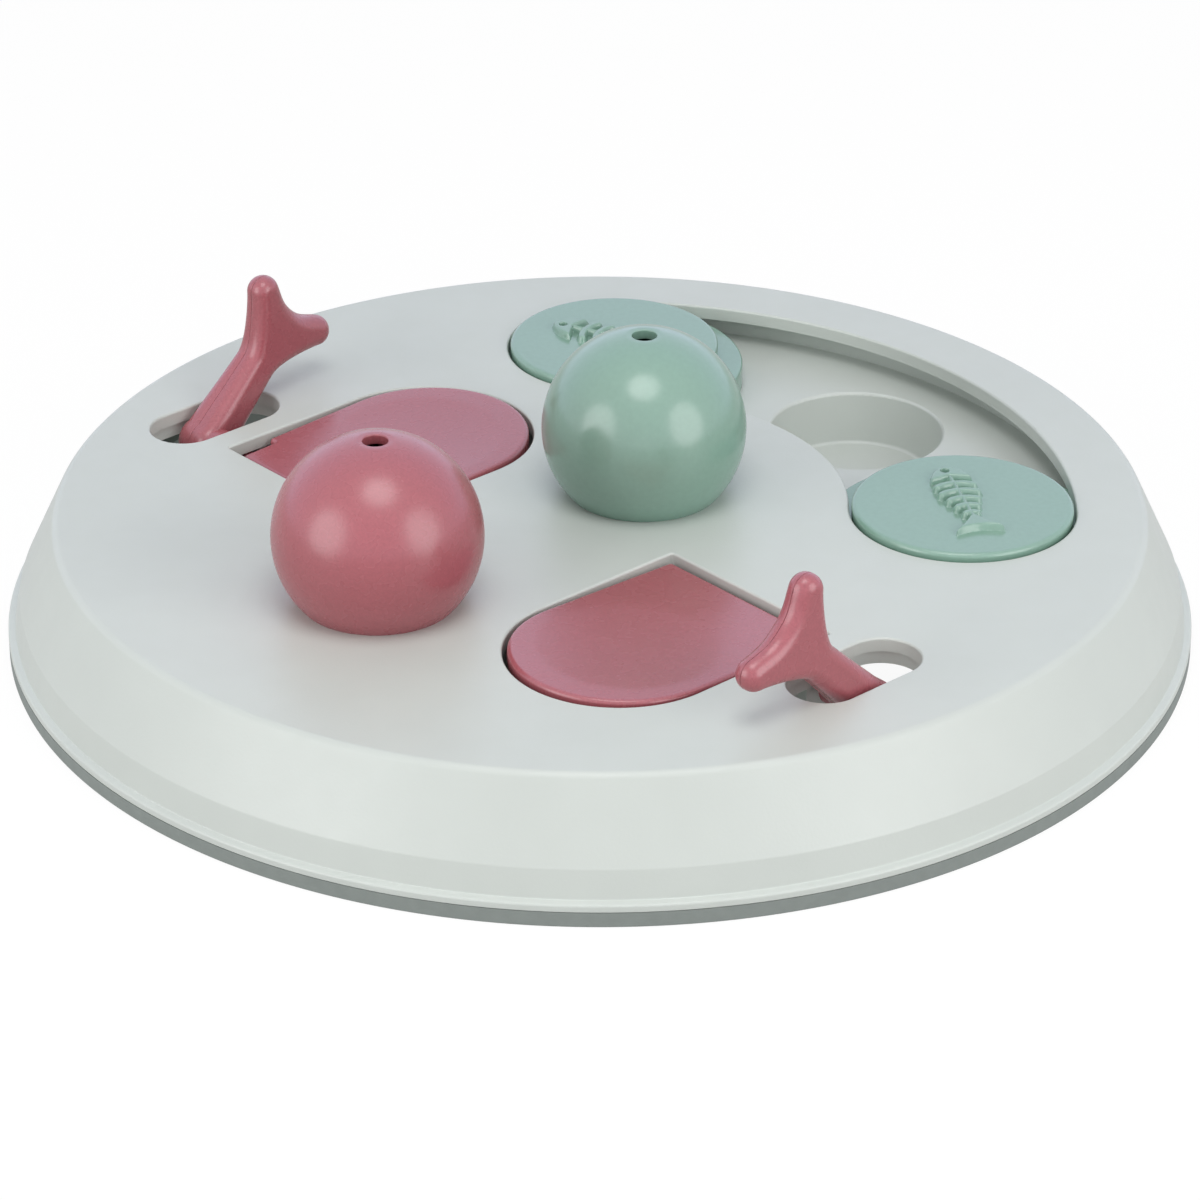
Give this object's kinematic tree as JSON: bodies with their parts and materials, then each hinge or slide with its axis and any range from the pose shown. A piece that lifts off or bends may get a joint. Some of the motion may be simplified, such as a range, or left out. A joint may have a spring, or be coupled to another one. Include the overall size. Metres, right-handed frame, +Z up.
{
  "type": "cat activity board",
  "caption": "Round cat activity board with discs that run in a curved track, flip lids with fish-tail levers and lift-off hoods over treat bowls.",
  "frame": {"origin": "on the table under the middle of the board", "axes": "+Z up, +Y away from the viewer of the picture, +X to the viewer's right"},
  "size_m": [0.23, 0.23, 0.0582],
  "materials": {
    "pale_plastic": "fine matte texture",
    "grey_rubber": "matte",
    "green_plastic": "satin",
    "pink_plastic": "satin",
    "screw_steel": "bright"
  },
  "bodies": {
    "board": {"top_cover": "pale_plastic", "tray_deck": "pale_plastic", "track_trough": "pale_plastic", "bowl_right": "pale_plastic", "bowl_middle": "pale_plastic", "bowl_rear": "pale_plastic", "well_front": "pale_plastic", "well_rear": "pale_plastic", "bowl_pink": "pale_plastic", "bowl_green": "pale_plastic", "grip_ring": "grey_rubber", "tray_screws": "screw_steel"},
    "right_disc": {"slider_right": "green_plastic"},
    "rear_disc": {"slider_rear": "green_plastic"},
    "front_flap": {"lid_front": "pink_plastic", "axle_front": "pink_plastic", "tail_front_inner": "pink_plastic", "tail_front_outer": "pink_plastic"},
    "rear_flap": {"lid_rear": "pink_plastic", "axle_rear": "pink_plastic", "tail_rear_inner": "pink_plastic", "tail_rear_outer": "pink_plastic"},
    "pink_hood": {"hood_pink": "pink_plastic"},
    "green_hood": {"hood_green": "green_plastic"}
  },
  "joints": [
    {"name": "right_disc_run", "type": "hinge", "parent": "board", "child": "right_disc", "pos_m": [0, 0, 0], "axis": [0, 0, 1], "range_deg": [0, 45.5]},
    {"name": "rear_disc_run", "type": "hinge", "parent": "board", "child": "rear_disc", "pos_m": [0, 0, 0], "axis": [0, 0, 1], "range_deg": [-45.5, 0]},
    {"name": "front_lid_flip", "type": "hinge", "parent": "board", "child": "front_flap", "pos_m": [0.02391, -0.04188, 0.0198], "axis": [-0.6691, 0.7431, 0], "range_deg": [0, 72]},
    {"name": "rear_lid_flip", "type": "hinge", "parent": "board", "child": "rear_flap", "pos_m": [-0.05501, 0.01058, 0.0198], "axis": [0.6691, -0.7431, 0], "range_deg": [0, 72]},
    {"name": "pink_hood_lift", "type": "slide", "parent": "board", "child": "pink_hood", "axis": [0, 0, 1], "range_m": [0, 0.06]},
    {"name": "green_hood_lift", "type": "slide", "parent": "board", "child": "green_hood", "axis": [0, 0, 1], "range_m": [0, 0.06]}
  ]
}
